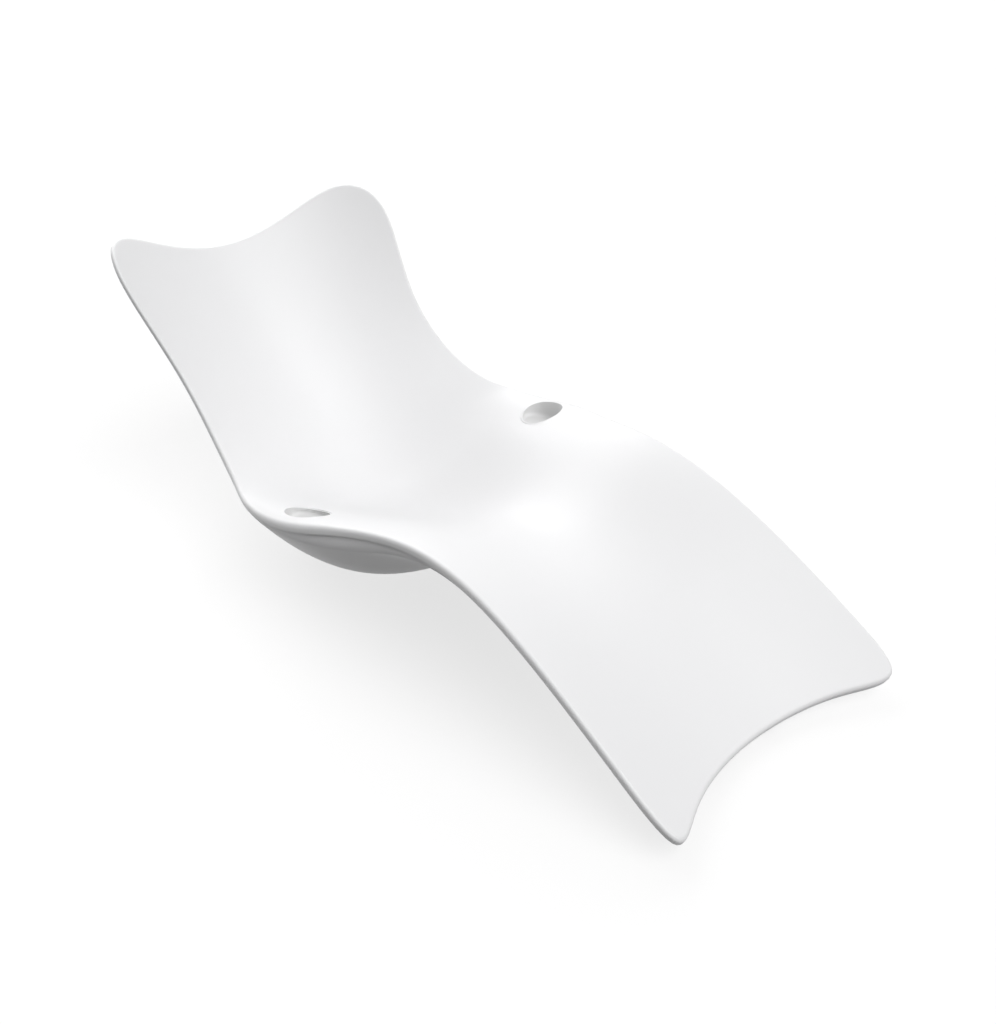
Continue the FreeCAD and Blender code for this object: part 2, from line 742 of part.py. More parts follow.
# Drain plug with a coin slot, and its flat seal
SEAL_FOOT = "Sizes.floor_gap - Sizes.plug_seal_wall"
PLUG_FOOT = SEAL_FOOT + " - Sizes.plug_head_height"
plug_head = solid_of(
    "Part::Cylinder", "plug_head", "Sizes.belly_centre_x", "0", PLUG_FOOT,
    Radius="Sizes.plug_head_radius", Height="Sizes.plug_head_height"
)
plug_shaft = solid_of(
    "Part::Cylinder", "plug_shaft", "Sizes.belly_centre_x", "0", SEAL_FOOT,
    Radius="Sizes.plug_radius", Height="Sizes.plug_length"
)
plug_slot = solid_of(
    "Part::Box", "plug_slot", "Sizes.belly_centre_x - Sizes.plug_head_radius",
    "-Sizes.plug_slot_width / 2", PLUG_FOOT,
    Length="Sizes.plug_head_radius * 2", Width="Sizes.plug_slot_width", Height="Sizes.plug_slot_depth"
)
plug_body = join("Part::MultiFuse", "plug_body", [plug_head, plug_shaft])
sub_parts.append(join("Part::Cut", "drain_plug", [plug_body, plug_slot]))
seal_disc = solid_of(
    "Part::Cylinder", "seal_disc", "Sizes.belly_centre_x", "0", SEAL_FOOT,
    Radius="Sizes.plug_seal_radius", Height="Sizes.plug_seal_wall"
)
seal_bore = solid_of(
    "Part::Cylinder", "seal_bore", "Sizes.belly_centre_x", "0", "0",
    Radius="Sizes.plug_radius", Height=BOARD_TOP
)
sub_parts.append(join("Part::Cut", "plug_seal", [seal_disc, seal_bore]))
doc.recompute()

# Every object sound, every sub-part a valid closed solid, before anything is written
for piece in doc.Objects:
    if "Invalid" in piece.State or "Error" in piece.State:
        raise ValueError("%s failed to compute" % piece.Label)
for piece in sub_parts:
    if piece.Shape.isNull() or not piece.Shape.isValid() or not piece.Shape.Solids:
        raise ValueError("%s has no valid shape" % piece.Label)
    print("%-24s %2d %12.0f" % (piece.Label, len(piece.Shape.Solids), piece.Shape.Volume))

os.makedirs("parts", exist_ok=True)
for piece in sub_parts:
    piece.Shape.exportStep("parts/%s.step" % piece.Label)
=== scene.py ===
import json
import math

import bmesh
import bpy
import numpy as np
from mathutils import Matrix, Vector


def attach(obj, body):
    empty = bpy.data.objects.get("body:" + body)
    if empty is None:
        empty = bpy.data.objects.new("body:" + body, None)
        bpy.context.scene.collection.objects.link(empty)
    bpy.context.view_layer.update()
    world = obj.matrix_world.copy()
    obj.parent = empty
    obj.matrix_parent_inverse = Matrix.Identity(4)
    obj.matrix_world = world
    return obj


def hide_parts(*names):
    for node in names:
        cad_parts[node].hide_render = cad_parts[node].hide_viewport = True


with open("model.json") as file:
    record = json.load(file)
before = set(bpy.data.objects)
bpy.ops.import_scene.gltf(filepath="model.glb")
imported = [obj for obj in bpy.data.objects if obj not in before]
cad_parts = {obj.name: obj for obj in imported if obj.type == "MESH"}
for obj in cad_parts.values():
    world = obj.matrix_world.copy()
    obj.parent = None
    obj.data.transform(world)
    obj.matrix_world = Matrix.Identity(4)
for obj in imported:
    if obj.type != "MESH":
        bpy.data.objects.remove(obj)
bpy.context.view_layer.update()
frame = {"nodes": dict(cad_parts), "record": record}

# Spa relaxation lounger: the two white skins of the moulding, made again as fine smooth meshes around
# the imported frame, and the finishes of every piece. Metres, +X to the foot end, +Y to the sitter's left.

# Form of the moulding: stations along the centre line, from the head end to the foot end
LENGTH = 1.800
BACK_HEIGHT = 0.540
HALF_WIDTH = 0.410
RIM_RISE = 0.175
HULL_DEPTH = 0.220
LIP_DEPTH = 0.019
LIP_WALL = 0.006
SKIN_WALL = 0.0045
BOND_GAP = 0.0015
BOND_WIDTH = 0.012
FIT_GAP = 0.0003
FLOOR_GAP = 0.018
SPINE_X_SHARES = (-0.004, 0.092, 0.210, 0.341, 0.488, 0.634, 0.773, 0.912)
SPINE_Z_SHARES = (0.998, 0.580, 0.233, 0.052, 0.237, 0.448, 0.374, 0.119)
RISE_SHARES = (0.95, 0.97, 0.81, 1.00, 0.686, 0.554, 0.394, 0.451)
WIDTH_SHARES = (0.946, 0.868, 0.824, 0.966, 1.044, 0.820, 0.805, 0.841)
SHELF_SHARES = (0.10, 0.25, 0.45, 0.75, 1.25, 1.00, 0.50, 0.25)
HULL_SHARES = (0.045, 0.107, 0.362, 0.991, 1.009, 0.227, 0.136, 0.050)
BELLY_SHARES = (0, 0, 0.50, 0.53, 1.16, 0.61, 0, 0)
MIDDLE_SHARE = 0.4946
DISH_POWER = 2.2
HULL_POWER = 2.94
RIM_SHARES = (
    (0.012, 0.000), (-0.005, 0.438), (-0.029, 0.786), (0.027, 0.970), (0.176, 0.780),
    (0.359, 0.900), (0.488, 1.013), (0.583, 0.990), (0.638, 0.867), (0.734, 0.784),
    (0.868, 0.803), (1.002, 0.820), (1.094, 0.826), (1.052, 0.544), (1.035, 0.000),
)

# Fineness of the meshes, and the distances at which points are joined and slivers removed
AROUND = 576
RIM_TRIALS = 12000
SEAT_RINGS = 64
HULL_RINGS = 64
CAVITY_RINGS = 24
FACING_RING = 20
PLACE_ROUNDS = 16
SPINE_STEP = 0.0001
SLOPE_STEP = 0.0005
JOIN_DISTANCE = 1e-6
SLIVER_LENGTH = 1e-7

# The line that the seat's rings start from, and the roundings of the lip and of the base
MIDDLE_RUNS = (0.14, 0.93)
LIP_ROLL = 0.009
LIP_DROP = 0.010
LIP_STEPS = 12
LIP_WALL_SHARES = (0, 0.5, 1)
NOSE_RADIUS = 0.003
NOSE_STEPS = 5
BASE_ROUNDING = 0.016

# Grip slots in the hip shelves, and the roll of the shelf between a slot and the rim
SLOT_LENGTH = 0.108
SLOT_WIDTH = 0.078
SLOT_CENTRE_X = -0.096
SLOT_CENTRE_Y = 0.340
SLOT_TURN = math.radians(-9)
SLOT_DEPTH = 0.035
SLOT_TILT = math.radians(11)
SLOT_ROUNDING = 0.0013
SLOT_CLEARING = 0.012
SLOT_COLLARS = (0.008, 0.005, 0.003)
SLOT_UNDERCUT = 0.0005
SLOT_SURROUNDINGS = 1.6
SLOT_ROUNDS = 8
MOUTH_STEPS = 8
WALL_STEPS = 4
FOOT_STEPS = 7
CORNER_FULLNESS = 0.6
ANGLE_SMOOTHING = 4
POCKET_ROUNDING = 0.009
POCKET_FLOOR_SHARES = (1, 0.8, 0.55, 0.3)
ROLL_HEIGHT = 0.0065
ROLL_RUN = 0.535
ROLL_REACH = 0.13
ROLL_FULLNESS = 1.3
ROLL_SIDES = (0.70, 0.93, 1.0)


def weights(part):
    """Weights of a uniform cubic B-spline's four control values."""
    rest = 1 - part
    return np.array((
        rest ** 3 / 6,
        (3 * part ** 3 - 6 * part ** 2 + 4) / 6,
        (3 * rest ** 3 - 6 * rest ** 2 + 4) / 6,
        part ** 3 / 6,
    ))


def along(shares, run):
    """Values at shares of the run, from a row of station values."""
    run = np.asarray(run, float)
    last = len(shares) - 1
    before = 2 * shares[0] - shares[1]
    after = 2 * shares[last] - shares[last - 1]
    row = np.array((before,) + tuple(shares) + (after,))
    start = np.clip(np.floor(run * last).astype(int), 0, last - 1)
    factors = weights(run * last - start)
    return sum(factors[k] * row[start + k] for k in range(4))


def spine(run):
    """Points of the centre line: X and Z."""
    return np.stack((
        (along(SPINE_X_SHARES, run) - MIDDLE_SHARE) * LENGTH,
        along(SPINE_Z_SHARES, run) * BACK_HEIGHT,
    ), -1)


def spine_step(run):
    """Change of the centre line per unit of run."""
    return (spine(run + SPINE_STEP) - spine(run - SPINE_STEP)) / (2 * SPINE_STEP)


def upward(run):
    """Unit normals of the centre line, towards the sitter."""
    forward = spine_step(run)
    forward /= np.linalg.norm(forward, axis=-1, keepdims=True)
    return np.stack((-forward[..., 1], 0 * forward[..., 0], forward[..., 0]), -1)


def dish(run, side):
    """Share of the rim's rise at a share of the local half width."""
    shelf = along(SHELF_SHARES, run)
    round_share = (1 - np.cos(np.pi * np.minimum(side, 1))) / 2
    return (1 - shelf) * side ** DISH_POWER + shelf * round_share


def half_width(run):
    return along(WIDTH_SHARES, run) * HALF_WIDTH


def ease(part):
    """Smooth step from 0 to 1."""
    part = np.clip(part, 0, 1)
    return part * part * (3 - 2 * part)


def shelf_roll(run, side):
    """Height of the soft roll that the hip shelf has outside each grip slot."""
    inner, crest, outer = ROLL_SIDES
    across = ease((side - inner) / (crest - inner)) * ease((outer - side) / (outer - crest))
    lengthwise = ease(ROLL_FULLNESS - ROLL_FULLNESS * np.abs(run - ROLL_RUN) / ROLL_REACH)
    return ROLL_HEIGHT * across * lengthwise


def seat_level(run, side):
    return along(RISE_SHARES, run) * RIM_RISE * dish(run, side) + shelf_roll(run, side)


def hull_level(run, side):
    rise = along(RISE_SHARES, run) * RIM_RISE
    level = rise * (dish(run, side) + along(BELLY_SHARES, run) * (1 - dish(run, side)))
    return level - LIP_DEPTH - along(HULL_SHARES, run) * HULL_DEPTH * (1 - side ** HULL_POWER)


def surface(level_at, run, y, offset=0.0):
    """Points of the seat or of the hull at (run, y), with an offset square to the centre line."""
    level = level_at(run, np.abs(y) / half_width(run)) + offset
    middle = spine(run)
    points = upward(run) * level[..., None]
    points[..., 0] += middle[..., 0]
    points[..., 1] = y
    points[..., 2] += middle[..., 1]
    return points


def slopes(level_at, run, y):
    """Derivatives of a surface by run and by y."""
    step = SLOPE_STEP
    by_run = (surface(level_at, run + step, y) - surface(level_at, run - step, y)) / (2 * step)
    by_y = (surface(level_at, run, y + step) - surface(level_at, run, y - step)) / (2 * step)
    return by_run, by_y


def unit(vectors):
    return vectors / np.linalg.norm(vectors, axis=-1, keepdims=True)


def dot(a, b):
    return np.sum(a * b, axis=-1, keepdims=True)


def rim_loop(count):
    """Closed row of (run, y) around the rim, evenly spaced, from the middle of the head end."""
    mirrored = [(run, -side) for run, side in RIM_SHARES[-2:0:-1]]
    control = np.array(list(RIM_SHARES) + mirrored)
    fine = np.linspace(0, len(control), RIM_TRIALS, endpoint=False)
    first = np.floor(fine).astype(int)
    factors = weights(fine - first)
    rim = sum(factors[k][:, None] * control[(first + k - 1) % len(control)] for k in range(4))
    rim[:, 1] *= HALF_WIDTH
    # The curve starts beside the first control point: begin at the head end, where y is zero
    start = int(np.argmin(np.where(rim[:, 0] > 0.5, np.inf, np.abs(rim[:, 1]))))
    rim = np.roll(rim, -start, axis=0)
    closed = np.vstack((rim, rim[:1]))
    places = surface(seat_level, closed[:, 0], closed[:, 1])
    length = np.concatenate(((0,), np.cumsum(np.linalg.norm(np.diff(places, axis=0), axis=1))))
    even = np.linspace(0, length[-1], count, endpoint=False)
    return np.interp(even, length, closed[:, 0]), np.interp(even, length, closed[:, 1])


def rim_section(run, y):
    """At each rim point: its place, the outward direction in the surface, the direction down the lip,
    and the outward direction square to the lip."""
    place = surface(seat_level, run, y)
    by_run, by_y = slopes(seat_level, run, y)
    normal = unit(np.cross(by_run, by_y))
    ahead = unit(np.roll(place, -1, axis=0) - np.roll(place, 1, axis=0))
    outward = unit(np.cross(normal, ahead))
    down = -upward(run)
    centre = surface(seat_level, run * 0 + 0.5, y * 0)
    flip = np.sign(dot(outward, place - centre))
    outward *= flip
    square = unit(outward - down * dot(outward, down))
    return place, outward, down, square


def inset(run, y, directions, distance):
    """(run, y) moved against a direction in the surface by a distance."""
    by_run, by_y = slopes(seat_level, run, y)
    a, b, c = dot(by_run, by_run)[:, 0], dot(by_run, by_y)[:, 0], dot(by_y, by_y)[:, 0]
    p, q = dot(by_run, -directions)[:, 0], dot(by_y, -directions)[:, 0]
    scale = a * c - b * b
    return run + distance * (c * p - b * q) / scale, y + distance * (a * q - b * p) / scale


def flat_inset(run, y, distance):
    """(run, y) moved inwards by a distance measured along the centre line and along Y."""
    scale = np.linalg.norm(spine_step(run), axis=-1)
    forward = (np.roll(run, -1) - np.roll(run, 1)) * scale
    sideways = np.roll(y, -1) - np.roll(y, 1)
    length = np.hypot(forward, sideways)
    return run + distance * sideways / length / scale, y - distance * forward / length


def middle_loop(count):
    """The point of the centre line that faces each rim point."""
    share = np.arange(count) / count
    half = 1 - np.abs(1 - 2 * share)
    return MIDDLE_RUNS[0] + (MIDDLE_RUNS[1] - MIDDLE_RUNS[0]) * half


def ring_runs(run, y, shares):
    """(run, y) rings from the centre line to an outer loop."""
    middle = middle_loop(len(run))
    return [(middle + (run - middle) * share, y * share) for share in shares]


def bezier(start, corner, end, full, steps):
    """Points between a start and an end that leave and arrive towards the corner."""
    first = start + (corner - start) * full
    second = end + (corner - end) * full
    rows = []
    for k in range(1, steps):
        t = k / steps
        near_start = start * (1 - t) ** 3 + first * 3 * t * (1 - t) ** 2
        rows.append(near_start + second * 3 * t ** 2 * (1 - t) + end * t ** 3)
    return rows


class Mesh:
    """Collects rows of points and the faces between them."""

    def __init__(self):
        self.rows = []
        self.count = 0
        self.faces = []

    def add(self, points):
        first = self.count
        self.rows.append(points)
        self.count += len(points)
        return np.arange(first, self.count)

    def band(self, lower, upper):
        """Faces between two closed rows with as many points."""
        after_lower, after_upper = np.roll(lower, -1), np.roll(upper, -1)
        self.faces.append(np.stack((lower, after_lower, after_upper, upper), -1))

    def points(self):
        return np.vstack(self.rows)


def to_object(name, points, faces, merge=True):
    """Mesh object with smooth shading, joined where points coincide."""
    mesh = bpy.data.meshes.new(name)
    mesh.from_pydata(points.tolist(), [], [tuple(face) for face in faces])
    piece = bpy.data.objects.new(name, mesh)
    bpy.context.scene.collection.objects.link(piece)
    if merge:
        work = bmesh.new()
        work.from_mesh(mesh)
        loose = [corner for corner in work.verts if not corner.link_faces]
        bmesh.ops.delete(work, geom=loose, context="VERTS")
        bmesh.ops.remove_doubles(work, verts=work.verts, dist=JOIN_DISTANCE)
        bmesh.ops.dissolve_degenerate(work, edges=work.edges, dist=SLIVER_LENGTH)
        bmesh.ops.recalc_face_normals(work, faces=work.faces)
        work.to_mesh(mesh)
        work.free()
    mesh.polygons.foreach_set("use_smooth", [True] * len(mesh.polygons))
    return piece


def seat_runs_at(x, y):
    """Runs of the seat's points over places in plan."""
    x, y = np.broadcast_arrays(np.asarray(x, float), np.asarray(y, float))
    run = np.full(x.shape, 0.5)
    for search_round in range(PLACE_ROUNDS):
        run = run + (x - surface(seat_level, run, y)[..., 0]) / LENGTH
    return run


def seat_point_at(x, y):
    return surface(seat_level, seat_runs_at(x, y), np.asarray(y, float))


def slot_lean(side_sign, height):
    """Y of the slot's middle at a height: it leans towards the centre line as it goes down."""
    mouth = seat_point_at(SLOT_CENTRE_X, side_sign * SLOT_CENTRE_Y)
    return mouth[1] - side_sign * math.tan(SLOT_TILT) * (mouth[2] - height)


def slot_frame(side_sign, points):
    """A point's place in a grip slot: along it and across it."""
    x = points[..., 0] - SLOT_CENTRE_X
    y = (points[..., 1] - slot_lean(side_sign, points[..., 2])) * side_sign
    along_slot = x * math.cos(SLOT_TURN) + y * math.sin(SLOT_TURN)
    across = (y * math.cos(SLOT_TURN) - x * math.sin(SLOT_TURN)) * side_sign
    return along_slot, across


def slot_wall_ring(side_sign, angles, growth, height):
    """Points of a slot's wall at given heights, moved out by a growth."""
    along_slot = (SLOT_LENGTH / 2 + growth) * np.cos(angles)
    across = (SLOT_WIDTH / 2 + growth) * np.sin(angles) * side_sign
    x = SLOT_CENTRE_X + along_slot * math.cos(SLOT_TURN) - across * math.sin(SLOT_TURN)
    y = (along_slot * math.sin(SLOT_TURN) + across * math.cos(SLOT_TURN)) * side_sign
    return np.stack((x, y + slot_lean(side_sign, height), np.broadcast_to(height, x.shape)), -1)


def slot_ring(side_sign, angles, growth):
    """Points of the seat around a slot, outside its wall by a growth."""
    height = np.full(angles.shape, seat_point_at(SLOT_CENTRE_X, side_sign * SLOT_CENTRE_Y)[2])
    for search_round in range(SLOT_ROUNDS):
        ring = slot_wall_ring(side_sign, angles, growth, height)
        height = seat_point_at(ring[:, 0], ring[:, 1])[:, 2]
    ring[:, 2] = height
    return ring


def loops_of(faces):
    """Closed rows of points along the open edges of a set of faces."""
    edges = {}
    for face in faces:
        corners = [c for k, c in enumerate(face) if c != face[k - 1]]
        for k, corner in enumerate(corners):
            edges[(corner, corners[(k + 1) % len(corners)])] = True
    following = {a: b for a, b in edges if (b, a) not in edges}
    loops = []
    while following:
        start, corner = following.popitem()
        loop = [start]
        while corner != start:
            loop.append(corner)
            corner = following.pop(corner)
        loops.append(loop)
    return loops


def open_slot(points, faces, side_sign):
    """Cuts a grip slot into the seat's mesh and lines it with a rounded mouth, walls and a floor."""
    along_slot, across = slot_frame(side_sign, points)
    reach_x = SLOT_LENGTH / 2 + SLOT_CLEARING
    reach_y = SLOT_WIDTH / 2 + SLOT_CLEARING
    inside = (along_slot / reach_x) ** 2 + (across / reach_y) ** 2 < 1
    inside &= points[:, 1] * side_sign > 0
    faces = faces[~inside[faces].any(axis=1)]
    near_x = reach_x * SLOT_SURROUNDINGS
    near_y = reach_y * SLOT_SURROUNDINGS
    near = (along_slot / near_x) ** 2 + (across / near_y) ** 2 < 1
    near &= points[:, 1] * side_sign > 0
    near_faces = faces[near[faces].any(axis=1)]
    loops = loops_of([tuple(face) for face in near_faces.tolist()])
    loop = np.array(min(loops, key=lambda row: np.abs(points[row, 0] - SLOT_CENTRE_X).max()))
    angles = np.unwrap(np.arctan2(across[loop] / reach_y, along_slot[loop] / reach_x))
    # Angles that change evenly in the order of the loop, so that the mouth is smooth
    direction = np.sign(angles[-1] - angles[0])
    even = angles[0] + direction * np.arange(len(loop)) * 2 * np.pi / len(loop)
    drift = angles - even
    shifts = range(-ANGLE_SMOOTHING, ANGLE_SMOOTHING + 1)
    angles = even + sum(np.roll(drift, shift) for shift in shifts) / len(shifts)
    # The collars in the seat, the rounded mouth and the leaning wall
    mouth = seat_point_at(SLOT_CENTRE_X, side_sign * SLOT_CENTRE_Y)
    rows = [slot_ring(side_sign, angles, growth) for growth in SLOT_COLLARS]
    outer = slot_ring(side_sign, angles, SLOT_ROUNDING)
    corner = slot_ring(side_sign, angles, 0)
    tilt = np.array((0, -side_sign * math.sin(SLOT_TILT), -math.cos(SLOT_TILT)))
    wall_top = corner + tilt * SLOT_ROUNDING
    rows.append(outer)
    rows += bezier(outer, corner, wall_top, CORNER_FULLNESS, MOUTH_STEPS)
    rows.append(wall_top)
    floor_height = mouth[2] - SLOT_DEPTH * math.cos(SLOT_TILT)
    wall_foot = slot_wall_ring(side_sign, angles, SLOT_UNDERCUT, floor_height + POCKET_ROUNDING)
    for k in range(1, WALL_STEPS + 1):
        rows.append(wall_top + (wall_foot - wall_top) * k / WALL_STEPS)
    # The rounded foot of the wall and the floor
    floor_corner = slot_wall_ring(side_sign, angles, SLOT_UNDERCUT, floor_height)
    floor_edge = slot_wall_ring(side_sign, angles, -POCKET_ROUNDING, floor_height)
    rows += bezier(wall_foot, floor_corner, floor_edge, CORNER_FULLNESS, FOOT_STEPS)
    centre = floor_edge.mean(axis=0)
    for share in POCKET_FLOOR_SHARES:
        rows.append(centre + (floor_edge - centre) * share)
    new = []
    count = len(points)
    blocks = [points]
    lower = loop
    for row in rows:
        upper = np.arange(count, count + len(row))
        count += len(row)
        blocks.append(row)
        new.append(np.stack((lower, upper, np.roll(upper, -1), np.roll(lower, -1)), -1))
        lower = upper
    blocks.append(rows[-1].mean(axis=0)[None])
    hub = np.full(len(lower), count)
    new.append(np.stack((lower, hub, hub, np.roll(lower, -1)), -1))
    return np.vstack(blocks), np.vstack([faces] + new)


def clean_faces(faces):
    """Faces as tuples, without repeated corners."""
    return [tuple(c for k, c in enumerate(face) if c != face[k - 1]) for face in faces.tolist()]


def vertex_normals(points, faces):
    """Unit normals of a mesh's points, weighted by face area."""
    a, b, c, d = (points[faces[:, k]] for k in range(4))
    square = np.cross(c - a, d - b)
    normals = np.zeros_like(points)
    for k in range(4):
        np.add.at(normals, faces[:, k], square)
    return unit(normals + 1e-12)


def join_middle(points, faces, count):
    """Points of the innermost row that coincide across the centre line become one."""
    keep = np.arange(len(points))
    for k in range(1, count // 2):
        keep[count - k] = k
    return keep[faces]


def seat_moulding():
    """The upper skin: the seat surface, its rounded lip, the two grip slots, and its inner side."""
    run, y = rim_loop(AROUND)
    place, outward, down, square = rim_section(run, y)
    turn = np.arccos(np.clip(dot(outward, down), -1, 1))
    edge_run, edge_y = inset(run, y, outward, LIP_ROLL)
    mesh = Mesh()
    shares = np.linspace(0, 1, SEAT_RINGS)
    rings = [mesh.add(surface(seat_level, *ring)) for ring in ring_runs(edge_run, edge_y, shares)]
    edge = mesh.rows[-1]
    wall_top = place + down * LIP_DROP
    full = 4 / 3 * np.tan(turn / 4) / np.tan(turn / 2)
    for row in bezier(edge, place, wall_top, full, LIP_STEPS):
        rings.append(mesh.add(row))
    wall_foot = place + down * (LIP_DEPTH - NOSE_RADIUS)
    for share in LIP_WALL_SHARES:
        rings.append(mesh.add(wall_top + (wall_foot - wall_top) * share))
    for lower, upper in zip(rings, rings[1:]):
        mesh.band(lower, upper)
    points = mesh.points()
    faces = join_middle(points, np.vstack(mesh.faces), AROUND)
    rim_row = rings[-1]
    for side_sign in (1, -1):
        points, faces = open_slot(points, faces, side_sign)
    normals = vertex_normals(points, faces)
    if np.mean(normals[rings[FACING_RING], 2]) < 0:
        faces = faces[:, ::-1]
        normals = -normals
    # The inner side, a wall further in
    wall = np.full((len(points), 1), SKIN_WALL)
    lip_rows = np.concatenate(rings[SEAT_RINGS:])
    wall[lip_rows] = LIP_WALL
    inner = points - normals * wall
    inner[rim_row] = points[rim_row] - square * LIP_WALL
    total = len(points)
    blocks = [points, inner]
    sides = [faces, faces[:, ::-1] + total]
    # The lip's rounded lower edge, from the outer wall to the inner one
    lower = rim_row
    count = 2 * total
    for k in range(1, NOSE_STEPS):
        angle = math.pi * k / NOSE_STEPS
        row = (
            points[rim_row]
            - square * (LIP_WALL / 2) * (1 - math.cos(angle))
            + down * NOSE_RADIUS * math.sin(angle)
        )
        upper = np.arange(count, count + len(row))
        count += len(row)
        blocks.append(row)
        sides.append(np.stack((lower, upper, np.roll(upper, -1), np.roll(lower, -1)), -1))
        lower = upper
    inner_rim = rim_row + total
    sides.append(np.stack((lower, inner_rim, np.roll(inner_rim, -1), np.roll(lower, -1)), -1))
    return to_object("seat_moulding", np.vstack(blocks), clean_faces(np.vstack(sides)))


def level_off(points, base):
    """Heights under the hull's flat base are raised to it, with a rounded edge."""
    height = points[:, 2]
    near = np.clip(BASE_ROUNDING - np.abs(height - base), 0, None) / BASE_ROUNDING
    points = points.copy()
    points[:, 2] = np.maximum(height, base) + near ** 2 * BASE_ROUNDING / 4
    return points


def skin_points(level_at, ring, wall):
    """Points of a surface moved square to it, towards the sitter."""
    by_run, by_y = slopes(level_at, *ring)
    square = unit(np.cross(by_run, by_y))
    square *= np.sign(dot(square, upward(ring[0])))
    return surface(level_at, *ring) + square * wall


def under_moulding():
    """The lower skin: the cavity's inside, the bonding flange, and the hull with its flat base."""
    run, y = rim_loop(AROUND)
    edge = flat_inset(run, y, LIP_WALL + FIT_GAP)
    cavity = flat_inset(run, y, LIP_WALL + FIT_GAP + BOND_WIDTH)
    seam = -(SKIN_WALL + BOND_GAP)
    mesh = Mesh()
    rows = []
    for ring in ring_runs(*cavity, np.linspace(0, 1, CAVITY_RINGS)):
        rows.append(level_off(skin_points(hull_level, ring, SKIN_WALL), FLOOR_GAP + SKIN_WALL))
    rows.append(skin_points(seat_level, cavity, seam))
    rows.append(skin_points(seat_level, edge, seam))
    for ring in ring_runs(*edge, np.linspace(1, 0, HULL_RINGS)):
        rows.append(level_off(surface(hull_level, *ring), FLOOR_GAP))
    rings = [mesh.add(row) for row in rows]
    for lower, upper in zip(rings, rings[1:]):
        mesh.band(lower, upper)
    return to_object("under_moulding", mesh.points(), clean_faces(np.vstack(mesh.faces)))


# Shared effects of the finishes
def effect(name, inputs, outputs):
    """Shader node group with named number inputs and named outputs."""
    group = bpy.data.node_groups.new(name, "ShaderNodeTree")
    for label, value in inputs:
        kind = "NodeSocketColor" if isinstance(value, tuple) else "NodeSocketFloat"
        group.interface.new_socket(name=label, in_out="INPUT", socket_type=kind).default_value = value
    for label, kind in outputs:
        group.interface.new_socket(name=label, in_out="OUTPUT", socket_type=kind)
    entry = group.nodes.new("NodeGroupInput")
    leave = group.nodes.new("NodeGroupOutput")
    return group, entry, leave


def node(tree, kind, settings=(), **inputs):
    """A node with some of its settings and inputs set, where i0, i1 and i2 name an input by its place.
    An input may be a value or another socket."""
    made = tree.nodes.new(kind)
    for key, value in settings:
        setattr(made, key, value)
    for key, value in inputs.items():
        by_place = key[0] == "i" and key[1:].isdigit()
        socket = made.inputs[int(key[1:])] if by_place else made.inputs[key]
        if isinstance(value, bpy.types.NodeSocket):
            tree.links.new(value, socket)
        else:
            socket.default_value = value
    return made


def surface_variation():
    """Soft clouds in colour and gloss, and a fine ripple of the moulded face."""
    group, entry, leave = effect(
        "surface_variation",
        (("Tint", (0.9, 0.9, 0.9, 1.0)), ("Shade", (0.85, 0.85, 0.85, 1.0)), ("Cloud scale", 3.0),
         ("Gloss low", 0.2), ("Gloss high", 0.3), ("Ripple scale", 60.0), ("Ripple height", 0.1)),
        (("Color", "NodeSocketColor"), ("Roughness", "NodeSocketFloat"), ("Normal", "NodeSocketVector")),
    )
    place = node(group, "ShaderNodeTexCoord").outputs["Object"]
    cloud = node(group, "ShaderNodeTexNoise", Vector=place, Scale=entry.outputs["Cloud scale"], Detail=3.0)
    mix = node(group, "ShaderNodeMix", (("data_type", "RGBA"),), i0=cloud.outputs["Fac"])
    group.links.new(entry.outputs["Tint"], mix.inputs[6])
    group.links.new(entry.outputs["Shade"], mix.inputs[7])
    fine = node(group, "ShaderNodeTexNoise", Vector=place, Scale=entry.outputs["Ripple scale"], Detail=2.0)
    gloss = node(group, "ShaderNodeMapRange", Value=fine.outputs["Fac"])
    group.links.new(entry.outputs["Gloss low"], gloss.inputs["To Min"])
    group.links.new(entry.outputs["Gloss high"], gloss.inputs["To Max"])
    bump = node(group, "ShaderNodeBump", Height=fine.outputs["Fac"], Distance=0.001,
                Strength=entry.outputs["Ripple height"])
    group.links.new(mix.outputs[2], leave.inputs["Color"])
    group.links.new(gloss.outputs[0], leave.inputs["Roughness"])
    group.links.new(bump.outputs["Normal"], leave.inputs["Normal"])
    return group


variation = surface_variation()
COAT_ROUGHNESS = 0.22


def finish_of(name, tint, shade, gloss, cloud_scale=3.0, ripple=(60.0, 0.1), metallic=0.0, coat=0.0):
    """Material with a Principled shader fed by the shared surface variation."""
    material = bpy.data.materials.new(name)
    material.use_nodes = True
    tree = material.node_tree
    shader = tree.nodes["Principled BSDF"]
    group = tree.nodes.new("ShaderNodeGroup")
    group.node_tree = variation
    group.inputs["Tint"].default_value = tint + (1.0,)
    group.inputs["Shade"].default_value = shade + (1.0,)
    group.inputs["Cloud scale"].default_value = cloud_scale
    group.inputs["Gloss low"].default_value = gloss[0]
    group.inputs["Gloss high"].default_value = gloss[1]
    group.inputs["Ripple scale"].default_value = ripple[0]
    group.inputs["Ripple height"].default_value = ripple[1]
    tree.links.new(group.outputs["Color"], shader.inputs["Base Color"])
    tree.links.new(group.outputs["Roughness"], shader.inputs["Roughness"])
    tree.links.new(group.outputs["Normal"], shader.inputs["Normal"])
    shader.inputs["Metallic"].default_value = metallic
    shader.inputs["Coat Weight"].default_value = coat
    shader.inputs["Coat Roughness"].default_value = COAT_ROUGHNESS
    return material


